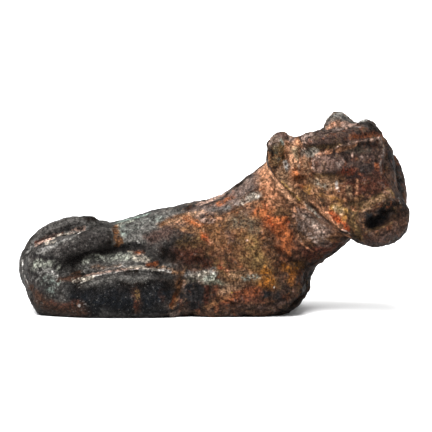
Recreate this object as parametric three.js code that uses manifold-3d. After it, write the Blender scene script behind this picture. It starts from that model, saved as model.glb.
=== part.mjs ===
// A solid-cast bronze bull, lying with its legs folded under it and its head turned to its right.
// Millimetres, +Z up. +X runs from the rump to the chest and +Y to the animal's left. The finished
// solid stands on its flat underside, with the origin at the bottom centre of its bounding box.
import * as THREE from "three";
import { mergeVertices } from "three/addons/utils/BufferGeometryUtils.js";
import Module from "manifold-3d";

// Driving dimensions. Places are [forward, left, up] from the middle of the trunk at ground level.
const TRUNK = {
  path: [[-22, 0, 6.8], [-14, 0, 7.5], [-7, 0, 8.5], [1, 0, 8.9], [8, 0, 8.6]],
  radii: [6.4, 7.6, 8.6, 8.5, 7.8],
  widthShare: 0.84,
};
const BELLY = { path: [[-20.8, 0, 4.2], [-10, 0, 3], [6, 0, 3]], radii: [5.2, 5.4, 5.4], widthShare: 1.5 };
const RUMP = { centre: [-24, 0, 7.5], radii: [7.6, 7, 6.2] };
const NECK = {
  path: [[2, 0.4, 9.8], [8.5, 0.8, 13.8], [14.2, 0.2, 18.8], [17.8, -1.6, 22]],
  radii: [8.2, 8.6, 8.2, 7.3],
  widthShare: 0.76,
};
const THROAT = {
  path: [[12.2, -1.4, 10.4], [15.4, -2.4, 12.2], [18.4, -3.6, 14.6]],
  radii: [3.6, 3.8, 3.6],
};
const TAIL = {
  path: [[-30, 0, 7], [-29, 0, 10.9], [-26.2, 0, 13.1], [-22.4, 0, 14], [-19.9, 0, 14.1]],
  radii: [1.1, 1.4, 1.6, 1.8, 1.7],
};
const HAUNCH = {
  path: [[-28.6, 3.4, 8.8], [-25, 5, 10.2], [-20.8, 5.4, 11.4], [-18.2, 4.9, 12.1]],
  radii: [1.9, 2.2, 2.4, 2.5],
};
const THIGH = { path: [[-22, 4.6, 6], [-16, 5, 6.8], [-11.6, 4.8, 7.2]], radii: [3, 3.4, 3.2] };
const HIND_LEG = {
  path: [[-26.7, 4.8, 3.9], [-20, 7, 3.3], [-12, 7.4, 3.7], [-8, 7, 3]],
  radii: [3, 2.9, 2.9, 2.6],
  heightShare: 0.78,
};
const SHOULDER = { centre: [4.6, 3.4, 9.4], radii: [6.6, 4.6, 7] };
const FORELEG = {
  path: [[-2.9, 6, 4.2], [-1.6, 6, 2.4], [3, 6, 3], [7, 5.8, 3.7], [10.4, 5.2, 4.4]],
  radii: [1.9, 2.3, 2.8, 3.2, 3.6],
};
const FAR_KNEE_LEAD = 0.8;
const CHEST = { centre: [8.8, 0, 7.2], radii: [5, 6, 6] };
const TAIL_GROOVE = {
  path: [[-29.4, 2.1, 10], [-26, 2.3, 12.4], [-19.6, 2.3, 13.8]],
  radii: [0.8, 0.9, 0.9],
};
const THIGH_GROOVE = {
  path: [[-27, 6.4, 7.2], [-22, 7.2, 8.7], [-17, 7.2, 9.9], [-11.6, 7, 10.3], [-6, 8.6, 5]],
  radii: [0.6, 1.3, 1.5, 1.5, 1.2],
};
const CREASE = {
  path: [[16.8, 0, 6], [15.4, 4, 6.4], [13, 6.6, 8.2], [10.6, 7.8, 10.2]],
  radii: [1.4, 1.1, 0.9, 0.6],
};
const FLANK = { centre: [-4.8, 8.6, 9.4], radii: [3.2, 2, 3] };

// The head has its own frame, with the same three directions, turned to the right and leaned over.
const HEAD = { centre: [20.6, -4.4, 25.2], turnDeg: -58, leanDeg: 12 };
const CRANIUM = { centre: [-0.8, -0.8, -0.8], half: [5.4, 6.9, 4.9], rounding: 2.8 };
const FACE = {
  path: [[0.2, 0.2, -0.4], [1.6, 0.3, -3], [4, 0.5, -7], [5.4, 0.6, -9]],
  radii: [4.6, 4.7, 4.3, 4],
};
const MUZZLE = { centre: [6.2, -0.4, -9.5], half: [4.2, 4.6, 3.8], rounding: 3.5 };
const JAW = { path: [[-2.4, 6, -3.4], [0.2, 5.2, -6.4], [4, 3.8, -9.2]], radii: [2.4, 2.5, 2.2] };
const FAR_CHEEK = { path: [[-1.6, 7, -0.2], [-0.4, 7.4, -3.8], [2.4, 5.4, -8.6]], radii: [1.6, 2.2, 2.4] };
const HORNS = {
  path: [
    [-1.4, -7.2, 4.2],
    [1.4, -6.8, 4.7],
    [3.2, -5.2, 4.8],
    [3.8, -2.2, 4.3],
    [3.6, 0.8, 3.7],
    [2, 3, 3.7],
  ],
  radii: [1.4, 1.5, 1.5, 1.4, 1.5, 2.1],
};
const CREST = { centre: [-1, 0, 5], radii: [1.8, 2.8, 2.7] };
const EAR = {
  path: [[-3.5, 9.7, 4.9], [-4.5, 10, 1.8], [-3.6, 9.2, -2.2], [-2.2, 8, -6]],
  radii: [1.8, 2, 1.8, 1.1],
};
const FAR_EAR = {
  path: [[-2.2, 7.8, -0.8], [-1.8, 8.3, -3.2], [-1, 8.1, -5.8], [-0.4, 7.2, -8.2]],
  radii: [1.4, 1.7, 1.4, 0.9],
};
const EYE = { centre: [4.4, 6.1, 0.6], radii: [1.5, 1.9, 1.5] };
const FAR_EYE = { centre: [3, 5.2, -0.4], radii: [1.3, 1.6, 1.3] };
const MOUTH = { path: [[9, -3.4, -9], [10.4, -0.4, -8.8], [9.8, 3.8, -8.6]], radii: [0.9, 1.6, 0.9] };

// How far one form melts into the next.
const SOFT = 3;
const FIRM = 1.2;
const CRISP = 0.6;

// The forms run on below this height, where the flat underside cuts them off.
const UNDERSIDE = 0.5;

// Grid cells are wide along the trunk and narrow in the head.
const BOX = { low: [-34, -18, -5], high: [34, 12, 36] };
const CELL = { trunk: 1.45, head: 0.95, acrossBody: 1.1, headFrom: 9, headAbove: 12 };
const FILLED_DEPTH = 0.05;
const CURVE_STEPS = 14;
const BRONZE = { color: 0x4a3a2e, roughness: 0.6, metalness: 0.55 };

// Signed distances: each function of x, y, z says about how far outside its form a point lies.
function ellipsoid({ centre: [cx, cy, cz], radii: [rx, ry, rz] }) {
  return (x, y, z) => {
    const u = (x - cx) / rx;
    const v = (y - cy) / ry;
    const w = (z - cz) / rz;
    const reach = Math.hypot(u, v, w);
    const slope = Math.hypot(u / rx, v / ry, w / rz);
    return slope < 1e-9 ? -Math.min(rx, ry, rz) : (reach * (reach - 1)) / slope;
  };
}

function roundedBlock({ centre: [cx, cy, cz], half: [hx, hy, hz], rounding }) {
  return (x, y, z) => {
    const u = Math.abs(x - cx) - hx + rounding;
    const v = Math.abs(y - cy) - hy + rounding;
    const w = Math.abs(z - cz) - hz + rounding;
    const outside = Math.hypot(Math.max(u, 0), Math.max(v, 0), Math.max(w, 0));
    return outside + Math.min(Math.max(u, v, w), 0) - rounding;
  };
}

// A round limb along a smooth curve. A width or height share under 1 makes it narrower or taller.
function limb({ path, radii, widthShare = 1, heightShare = 1 }) {
  const curve = new THREE.CatmullRomCurve3(path.map((p) => new THREE.Vector3(...p)));
  const spots = curve.getPoints(CURVE_STEPS).map((spot, i) => {
    const along = (i / CURVE_STEPS) * (radii.length - 1);
    const from = Math.min(Math.floor(along), radii.length - 2);
    const radius = THREE.MathUtils.lerp(radii[from], radii[from + 1], along - from);
    return [spot.x, spot.y / widthShare, spot.z * heightShare, radius];
  });
  return (x, y, z) => {
    const v = y / widthShare;
    const w = z * heightShare;
    let nearest = Infinity;
    for (let i = 0; i < CURVE_STEPS; i++) {
      const [ax, ay, az, ar] = spots[i];
      const [bx, by, bz, br] = spots[i + 1];
      const [dx, dy, dz] = [bx - ax, by - ay, bz - az];
      const run = ((x - ax) * dx + (v - ay) * dy + (w - az) * dz) / (dx * dx + dy * dy + dz * dz);
      const t = Math.min(Math.max(run, 0), 1);
      const gap = Math.hypot(x - ax - dx * t, v - ay - dy * t, w - az - dz * t);
      nearest = Math.min(nearest, gap - ar - (br - ar) * t);
    }
    return nearest * Math.min(widthShare, 1);
  };
}

function melt(a, b, reach) {
  const near = Math.max(reach - Math.abs(a - b), 0) / reach;
  return Math.min(a, b) - (near * near * reach) / 4;
}

// Joins [form, reach] pairs in turn, and then cuts the hollows out.
function sculpt(forms, hollows = []) {
  return (x, y, z) => {
    let depth = Infinity;
    for (const [form, reach] of forms) depth = melt(depth, form(x, y, z), reach);
    for (const [hollow, reach] of hollows) depth = -melt(-depth, hollow(x, y, z), reach);
    return depth;
  };
}

const mirrored = (form) => (x, y, z) => form(x, -y, z);
const shifted = (form, lead) => (x, y, z) => form(x - lead, y, z);

// A form that lies on both sides of the middle plane.
const paired = (form) => (x, y, z) => form(x, Math.abs(y), z);

function headForm() {
  const { centre, turnDeg, leanDeg } = HEAD;
  const turn = new THREE.Matrix4().makeRotationZ(THREE.MathUtils.degToRad(turnDeg));
  const lean = new THREE.Matrix4().makeRotationX(THREE.MathUtils.degToRad(leanDeg));
  const place = new THREE.Matrix4().makeTranslation(...centre).multiply(turn).multiply(lean);
  const [a, b, c, , d, e, f, , g, h, i, , tx, ty, tz] = place.invert().elements;
  const carved = sculpt(
    [
      [roundedBlock(CRANIUM), SOFT],
      [limb(FACE), SOFT],
      [paired(limb(JAW)), FIRM],
      [limb(FAR_CHEEK), FIRM],
      [roundedBlock(MUZZLE), FIRM],
      [limb(HORNS), CRISP],
      [ellipsoid(CREST), CRISP],
      [mirrored(limb(EAR)), CRISP],
      [limb(FAR_EAR), CRISP],
      [mirrored(ellipsoid(EYE)), CRISP],
      [ellipsoid(FAR_EYE), CRISP],
    ],
    [[limb(MOUTH), CRISP]],
  );
  return (x, y, z) =>
    carved(a * x + d * y + g * z + tx, b * x + e * y + h * z + ty, c * x + f * y + i * z + tz);
}

function bullForm() {
  const foreleg = limb(FORELEG);
  return sculpt(
    [
      [limb(TRUNK), SOFT],
      [limb(BELLY), SOFT],
      [ellipsoid(RUMP), SOFT],
      [ellipsoid(CHEST), SOFT],
      [limb(NECK), SOFT],
      [limb(THROAT), FIRM],
      [paired(ellipsoid(SHOULDER)), SOFT],
      [paired(limb(THIGH)), FIRM],
      [paired(limb(HAUNCH)), CRISP],
      [paired(limb(HIND_LEG)), FIRM],
      [mirrored(foreleg), FIRM],
      [shifted(foreleg, FAR_KNEE_LEAD), FIRM],
      [limb(TAIL), CRISP],
      [headForm(), FIRM],
    ],
    [
      [paired(limb(TAIL_GROOVE)), CRISP],
      [paired(limb(THIGH_GROOVE)), FIRM],
      [paired(ellipsoid(FLANK)), SOFT],
      [paired(limb(CREASE)), FIRM],
    ],
  );
}

// Grid lines from low to high, whose spacing at each place is cellAt(place).
function gridLines(low, high, cellAt) {
  const lines = [low];
  while (lines.at(-1) < high) lines.push(lines.at(-1) + cellAt(lines.at(-1)));
  return lines;
}

// The corners, edges and faces of a grid cell. A face lists its corners in a ring.
const CORNERS = [0, 1, 2, 3, 4, 5, 6, 7].map((c) => [c & 1, (c >> 1) & 1, c >> 2]);
const EDGES = CORNERS.flatMap((corner, c) =>
  [0, 1, 2].filter((axis) => !corner[axis]).map((axis) => [c, c | (1 << axis)]),
);
const FACES = [0, 1, 2].flatMap((axis) =>
  [0, 1 << axis].map((base) => {
    const [u, v] = [1 << ((axis + 1) % 3), 1 << ((axis + 2) % 3)];
    return [base, base | u, base | u | v, base | v];
  }),
);

function sampleGrid(form, lines) {
  const size = lines.map((line) => line.length);
  const stride = [1, size[0], size[0] * size[1]];
  const depth = new Float64Array(stride[2] * size[2]);
  const grid = { lines, size, stride, depth };
  eachPoint(grid, 0, 0, (n, i, j, k) => {
    depth[n] = form(lines[0][i], lines[1][j], lines[2][k]);
  });
  return grid;
}

// Visits every grid point, less so many at the low and at the high end of each line.
function eachPoint({ size, stride }, lowMargin, highMargin, visit) {
  for (let k = lowMargin; k < size[2] - highMargin; k++) {
    for (let j = lowMargin; j < size[1] - highMargin; j++) {
      for (let i = lowMargin; i < size[0] - highMargin; i++) {
        visit(i + j * stride[1] + k * stride[2], i, j, k);
      }
    }
  }
}

// Fills gaps narrower than a cell, where the net would touch itself along an edge.
function closeNarrowGaps(grid) {
  const { stride, depth } = grid;
  const step = CORNERS.map((corner) => corner.reduce((sum, on, axis) => sum + on * stride[axis], 0));
  let filled = true;
  while (filled) {
    filled = false;
    eachPoint(grid, 0, 1, (n) => {
      for (const face of FACES) {
        const [a, b, c, d] = face.map((corner) => n + step[corner]);
        const inside = depth[a] < 0;
        if (depth[c] < 0 !== inside || depth[b] < 0 === inside || depth[d] < 0 === inside) continue;
        const [p, q] = inside ? [b, d] : [a, c];
        depth[depth[p] < depth[q] ? p : q] = -FILLED_DEPTH;
        filled = true;
      }
    });
  }
}

// The surface where the form's distance is zero, as a net of quads with one vertex in each cell.
function surfaceNet(grid) {
  const { lines, stride, depth } = grid;
  const vertexOf = new Map();
  const positions = [];
  eachPoint(grid, 0, 1, (cell, i, j, k) => {
    const corners = CORNERS.map(([u, v, w]) => ({
      place: new THREE.Vector3(lines[0][i + u], lines[1][j + v], lines[2][k + w]),
      value: depth[cell + u + v * stride[1] + w * stride[2]],
    }));
    const sum = new THREE.Vector3();
    let crossings = 0;
    for (const [a, b] of EDGES) {
      const [from, to] = [corners[a], corners[b]];
      if (from.value < 0 === to.value < 0) continue;
      sum.add(from.place.clone().lerp(to.place, from.value / (from.value - to.value)));
      crossings++;
    }
    if (!crossings) return;
    vertexOf.set(cell, positions.length / 3);
    positions.push(...sum.divideScalar(crossings).toArray());
  });

  const index = [];
  for (let axis = 0; axis < 3; axis++) {
    const [u, v] = [stride[(axis + 1) % 3], stride[(axis + 2) % 3]];
    eachPoint(grid, 1, 1, (here) => {
      const inside = depth[here] < 0;
      if (inside === depth[here + stride[axis]] < 0) return;
      const [p, q, r, s] = [here - u - v, here - v, here, here - u].map((cell) => vertexOf.get(cell));
      index.push(...(inside ? [p, q, r, p, r, s] : [p, r, q, p, s, r]));
    });
  }
  const geometry = new THREE.BufferGeometry();
  geometry.setAttribute("position", new THREE.Float32BufferAttribute(positions, 3));
  geometry.setIndex(index);
  return geometry;
}

function toManifold(wasm, geometry) {
  const bare = geometry.clone();
  bare.deleteAttribute("normal");
  bare.deleteAttribute("uv");
  const merged = mergeVertices(bare);
  return new wasm.Manifold(
    new wasm.Mesh({
      numProp: 3,
      vertProperties: new Float32Array(merged.attributes.position.array),
      triVerts: new Uint32Array(merged.index.array),
    }),
  );
}

function toGeometry(manifold) {
  const mesh = manifold.getMesh();
  const geometry = new THREE.BufferGeometry();
  geometry.setAttribute("position", new THREE.BufferAttribute(mesh.vertProperties, 3));
  geometry.setIndex(new THREE.BufferAttribute(mesh.triVerts, 1));
  return geometry;
}

// Keeps what lies above the underside, so that the bull stands on a flat.
async function cutFlat(geometry) {
  const wasm = await Module();
  wasm.setup();
  const tall = BOX.high[2];
  const wide = BOX.high[0] - BOX.low[0];
  const above = new THREE.BoxGeometry(wide, wide, tall).translate(0, 0, UNDERSIDE + tall / 2);
  return toGeometry(toManifold(wasm, geometry).intersect(toManifold(wasm, above)));
}

async function bullMesh() {
  const { trunk, head, acrossBody, headFrom, headAbove } = CELL;
  const xs = gridLines(BOX.low[0], BOX.high[0], (x) => (x < headFrom ? trunk : head));
  const ys = gridLines(BOX.low[1], BOX.high[1], () => acrossBody);
  const zs = gridLines(BOX.low[2], BOX.high[2], (z) => (z < headAbove ? trunk : head));
  const grid = sampleGrid(bullForm(), [xs, ys, zs]);
  closeNarrowGaps(grid);
  const geometry = await cutFlat(surfaceNet(grid));
  geometry.computeBoundingBox();
  const middle = geometry.boundingBox.getCenter(new THREE.Vector3());
  geometry.translate(-middle.x, -middle.y, -UNDERSIDE);
  geometry.computeVertexNormals();
  const mesh = new THREE.Mesh(geometry, new THREE.MeshStandardMaterial(BRONZE));
  mesh.name = "bull";
  return mesh;
}

const figure = new THREE.Group();
figure.add(await bullMesh());

export default figure;
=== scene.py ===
"""A solid-cast bronze bull, lying down, with its worn relief and its corroded patina.

The fixed frame gives the bull's solid. Its surface is remade as a fine mesh, carved with strokes that
are placed by pixels of the photograph, roughened, and coloured by layers of patina, with painted shade
and painted highlights among them.
Lengths are in metres, apart from names that say millimetres or pixels.
"""

import math

import bpy
import numpy as np
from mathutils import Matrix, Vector
from mathutils.bvhtree import BVHTree


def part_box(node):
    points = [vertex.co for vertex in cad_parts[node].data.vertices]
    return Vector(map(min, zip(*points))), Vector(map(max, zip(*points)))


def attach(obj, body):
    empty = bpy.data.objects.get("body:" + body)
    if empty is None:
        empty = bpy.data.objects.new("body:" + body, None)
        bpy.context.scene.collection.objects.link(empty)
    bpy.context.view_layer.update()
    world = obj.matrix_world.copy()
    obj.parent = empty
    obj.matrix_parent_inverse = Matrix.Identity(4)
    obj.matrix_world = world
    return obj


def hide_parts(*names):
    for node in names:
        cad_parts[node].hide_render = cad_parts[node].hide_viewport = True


MM = 0.001

# The photograph's view: a square frame, seen from the animal's right and from a little above.
FRAME_PIXELS = 432
PIXEL_MM = 0.1585
CAMERA_DISTANCE_MM = 430
CAMERA_TILT = math.radians(6)
GROUND_ROW = 315
MIDDLE_COLUMN = 212.2
GROUND_DROP_MM = 0.5
SENSOR_MM = 36
VIEW_END = 50

# The fine mesh. Each smoothing pass moves the points by these shares of the way to their neighbours'
# mean, there and back.
WELD_MM = 0.01
SUBDIVISIONS = 2
VOXEL_MM = 0.245
SMOOTH_PASSES = 3
SMOOTH_SHARES = (0.5, -0.53)

# Strokes are pressed in along normals that are averaged this often and leant this much to the camera.
NORMAL_PASSES = 25
CAMERA_SHARE = 2

# How far apart the points of a line on the surface are, and a distance out of reach of any line.
STROKE_STEP_MM = 0.25
FAR = 1.0

# Random heights: how many there are, and a shift that keeps the places that they are looked up at
# above zero. Each use has its own seed. The corrosion's lumps count theirs from zero.
HEIGHTS = 256
HEIGHT_SHIFT = 64
UNEVEN_SEED = 9
PIT_SEED = 11
CREASE_SEED = 12
WARP_SEED = 20
BARE_SEED = 31

# A stroke reaches this many half widths to each side. It fades over a share of its length at each end,
# down to a least share of its height, and loses up to a share of its width there. It is uneven in
# patches of one size, by a share of its height.
STROKE_REACH = 3
TAPER = 0.2
LEAST_HEIGHT = 0.15
NARROWING = 0.4
UNEVEN_MM = 1.6
UNEVEN_SHARE = 0.45

# How much the surface swells at first, to make up for what pits and creases take off.
SWELL_MM = 0.07

# Carving strokes: the pixels that each runs through, its half width in pixels, and its height in
# millimetres, which is negative for a groove.
STROKES = {
    "edge under the tail groove": (
        [(34, 247), (44, 242), (53, 238), (62, 234.5), (72, 233), (84, 231)],
        1.8,
        0.32,
    ),
    "notch before the tail's end": ([(98, 224), (94, 227), (88, 229)], 2, -0.3),
    "groove under the haunch": (
        [(60, 272), (72, 262), (86, 256), (104, 252), (118, 248), (142, 247)],
        5,
        -0.55,
    ),
    "haunch's end": ([(114, 226), (115, 234), (114, 244)], 2, -0.45),
    "haunch's edge": ([(110, 227), (110.5, 235), (109, 244)], 2.4, 0.25),
    "ridge of the hind leg": (
        [(72, 286), (80, 282), (90, 277), (108, 274), (124, 272), (143, 270), (158, 271), (172, 274)],
        1.8,
        0.42,
    ),
    "hollow over the hind leg": ([(76, 276), (92, 270), (110, 267), (130, 264), (150, 264)], 3.2, -0.22),
    "hollow under the leg's ridge": ([(84, 292), (110, 290), (140, 290), (166, 290)], 6, -0.3),
    "hind hoof's end": ([(180, 277), (180, 288), (174, 300), (170, 312)], 2.4, -0.5),
    "hind hoof's edge": ([(174, 279), (174.5, 288), (168, 300)], 2.4, 0.25),
    "front hoof's edge": ([(188, 286), (184, 298), (181, 310)], 2.4, 0.28),
    "front hoof's front": ([(209, 284), (209, 296), (206, 308)], 2.4, -0.3),
    "front hoof's top": ([(186, 284), (197, 283), (208, 282)], 2, 0.2),
    "flank": ([(164, 252), (174, 248), (184, 254)], 8, -0.35),
    "elbow": ([(190, 258), (204, 262), (216, 268)], 4.5, -0.3),
    "foreleg's top": ([(186, 271), (200, 271), (214, 274)], 3.5, 0.3),
    "foreleg's upper groove": ([(218, 278), (236, 283), (252, 284)], 4, -0.25),
    "chest crease": ([(272, 245), (280, 251), (290, 258), (300, 264), (309, 270)], 2.8, -0.35),
    "knee's edge": ([(308, 277), (300, 289), (292, 299), (276, 310)], 1.8, 0.32),
    "throat's edge": ([(294, 216), (296.5, 230), (301, 243), (313, 253)], 1.4, 0.28),
    "groove behind the throat's edge": ([(290, 220), (292, 234), (296, 247)], 2.2, -0.25),
    "neck beside the ear": ([(264, 160), (270, 172), (280, 185), (292, 197), (303, 208)], 2.2, -0.12),
    "ear's back edge": (
        [(268, 150), (270, 164), (278, 178.5), (288, 188), (298, 198), (308, 207)],
        1.6,
        0.34,
    ),
    "strip before the ear": ([(291, 150), (291, 160), (293, 170), (298, 182)], 5.5, 1.6),
    "brow's end": ([(304, 152), (304, 163), (305, 172), (308, 180)], 5, 1.0),
    "jaw's edge": (
        [(314, 197), (321, 205.5), (327.5, 214.5), (334, 223), (343, 230), (350, 234)],
        1.6,
        0.25,
    ),
    "groove behind the jaw": ([(308, 202), (317, 212), (324, 221), (333, 230), (343, 237)], 2.4, -0.12),
    "brow edge": ([(330, 149), (340, 146), (354, 142.5), (369, 139), (380, 137.5)], 2, 0.5),
    "groove over the brow edge": ([(340, 141), (354, 137), (370, 133.5), (382, 131.5)], 2, -0.25),
    "under the brow edge": ([(336, 151), (352, 148), (372, 145)], 2.4, -0.1),
    "horn's lower edge": ([(303, 150), (312, 150), (328, 150.5)], 1.8, -0.1),
    "horn's near end": ([(301, 140), (301, 148)], 1.8, -0.1),
    "crest's hollow": ([(328, 127), (336, 126), (344, 127)], 3, -0.2),
    "groove before the crest": ([(322, 132), (336, 131), (352, 128)], 1.5, -0.25),
    "upper eyelid": ([(313, 160), (315, 155), (322, 152.5), (331, 154)], 1.6, 0.3),
    "eye's left side": ([(314, 158), (313, 168), (317, 175)], 4.5, 0.4),
    "eye": ([(324, 164), (331, 166)], 9, -0.5),
    "corner of the eye": ([(310, 152), (312, 155)], 1.8, -0.35),
    "under the eye": ([(314, 175), (322, 178), (331, 175)], 2.4, -0.15),
    "plate's edge": ([(380, 139), (382.5, 146), (382, 156), (379, 166), (377, 174)], 1.6, 0.35),
    "groove past the plate": ([(386, 148), (386.5, 160), (383, 172)], 2.2, -0.3),
    "bridge of the nose": ([(357, 178), (358, 188), (359, 198)], 1.6, 0.25),
    "near nostril": ([(351, 186), (352, 194)], 3, -0.22),
    "far horn": ([(357, 124), (366, 121.5), (374, 126)], 5, 0.55),
    "groove beside the far knee": ([(311, 280), (306, 292), (297, 301), (284, 311)], 2, -0.4),
    "far nostril": ([(369, 180), (371, 190)], 4, -0.3),
    "upper lip": ([(358, 208), (366, 205), (378, 199), (388, 193), (393, 190)], 3, 0.45),
    "mouth hollow's top": ([(365, 214), (372, 212), (380, 209), (388, 205)], 4.5, -0.6),
    "mouth hollow": ([(367, 221), (372, 219), (380, 216), (388, 212)], 6, -0.8),
    "mouth hollow's foot": ([(369, 228), (376, 225), (382, 222), (388, 219)], 4.5, -0.6),
    "lower lip": ([(362, 233), (372, 234), (384, 230), (396, 223), (403, 218)], 2.8, 0.7),
    "under the lower lip": ([(366, 236), (378, 236.5), (392, 231)], 2.2, -0.25),
    "muzzle's side": ([(353, 206), (351, 218), (354, 230)], 3.2, -0.05),
    "mouth's far hollow": ([(390, 208), (397, 205), (401, 205)], 5, -0.35),
    "crest's left side": ([(320, 129), (324, 121), (329, 115)], 4, 0.45),
    "ear's top": ([(271, 152), (272, 145), (277, 140)], 7, 0.22),
    "far knee's rim": ([(310, 284), (306, 293), (300, 300)], 4, 0.4),
    "rump's lower side": ([(24, 286), (28, 296), (33, 304)], 5, 0.25),
    "strip's groove": ([(297, 152), (297, 162), (299, 171), (303, 180)], 4, 0.9),
    "ear's round side": ([(271, 142), (274, 139), (279, 136)], 4, 0.3),
    "ear's right slope": ([(283, 134), (286, 137), (289, 139), (292, 142)], 3.5, 0.5),
    "crest's tip": ([(326, 118), (332, 114), (338, 113), (344, 115), (350, 120)], 5, -0.22),
    "tail's end cap": ([(80, 218), (88, 218), (95, 219), (98, 221)], 3.4, 0.32),
    "notch after the tail": ([(101, 222), (100, 226), (98, 229)], 2.2, -0.4),
    "strip's left wall": ([(294, 148), (294, 157), (296, 166)], 3.4, 0.8),
}

# Corrosion relief: the width of its lumps and their height.
LUMPS_MM = [(3.4, 0.14), (1.5, 0.12), (0.8, 0.1), (0.5, 0.08)]

# Pits open where their noise is above the start. Creases run where theirs crosses zero.
PIT_MM = 1
PIT_START = 0.3
PIT_DEPTH_MM = 0.22
CREASES_MM = [(2, 0.12), (1.1, 0.1)]
CREASE_SHARPNESS = 5

# The haunches, behind the first place, have this share of the crust of what is ahead of the second.
SMOOTH_SHARE = 0.45
CRUST_FROM_MM = -10
CRUST_TO_MM = -1

# Smoothing passes in a row, and how far off its smoothed place a full edge or hollow is. Edges get a
# painted highlight on partly worn metal, and hollows get painted shade.
RELIEF_SCALES = [(4, 0.06), (20, 0.16), (60, 0.3)]

# How fast what faces down gets its full painted shade, and how much of that is taken off again.
UNDER_PAINTED_SHADE_GAIN = 1.2
UNDER_PAINTED_SHADE_START = 0.1

# How patches are made ragged: the width of each push and how far it goes. Patches narrower than the
# last width, in pixels, are pushed less.
WARP_MM = [(5, 0.5), (2.6, 0.6), (0.9, 0.35)]
FULL_WARP_PIXELS = 7

# Patches reach this many half widths, and fade out over the last one. The least weight keeps the
# division that follows away from zero where none lies.
PATCH_REACH = 1.5
LEAST_WEIGHT = 0.001

# Middle planes, which mirror the near side's patches on to the far side. The head's is for what lies
# ahead of the first place and above the second. Mirrored patches slip a little.
BODY_MIDDLE_MM = (0, 2, 0)
BODY_LEFT = (0, 1, 0)
HEAD_MIDDLE_MM = (20.4, -2.6, 24.7)
HEAD_LEFT = (0.83, 0.52, 0.21)
HEAD_FROM_MM = (11, 15)
MIRROR_SLIP_MM = (-1.6, 0, 0.8)

# The mirrored patches show on what is turned away from the camera: how much at its very edge, and how
# fast that grows beyond.
HIDDEN_AT_EDGE = 0.3
HIDDEN_GAIN = 3

# The light makes a surface that faces the camera look this much brighter than its own colour, and its
# gloss adds this much on top.
LIGHT_GAIN = 2.2
GLOSS = 0.004

# The patina's tones, as they look in the photograph's light.
TONES = {
    "black": "1c1714",
    "ink": "1b1d20",
    "soot": "2a2828",
    "coal": "3c3836",
    "slate": "565350",
    "ash": "73706b",
    "silver": "9a9792",
    "umber": "46332a",
    "bark": "5f4434",
    "brown": "7b563b",
    "tan": "90694b",
    "sand": "b18a6c",
    "plum": "54433d",
    "wine": "604a44",
    "maroon": "55342a",
    "mauve": "86736a",
    "taupe": "80655a",
    "olive": "6c5539",
    "khaki": "8a6d46",
    "honey": "cf934a",
    "moss": "706e5f",
    "rust": "8c5033",
    "brick": "903f2a",
    "orange": "b76b41",
    "flame": "cc5a2e",
    "salmon": "c58865",
    "dusk": "9c877d",
    "pink": "dcb6a3",
    # Apricot is lighter than the bronze's own colours: it paints light into shaded hollows by the ear, and
    # brightens the jaw.
    "apricot": "ffc096",
    "peach": "df9f78",
    # Glow paints light deep in the strip's shaded hollow, and brightens the jaw's gold.
    "glow": "ffdbb0",
    "gold": "ab7431",
    "amber": "8a5424",
    "yellow": "cba352",
    "verdigris": "8f9c92",
    "mint": "b9c9bd",
    "lichen": "cdd0bf",
    "cream": "e6d9c6",
    "white": "fffaf2",
}
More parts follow.
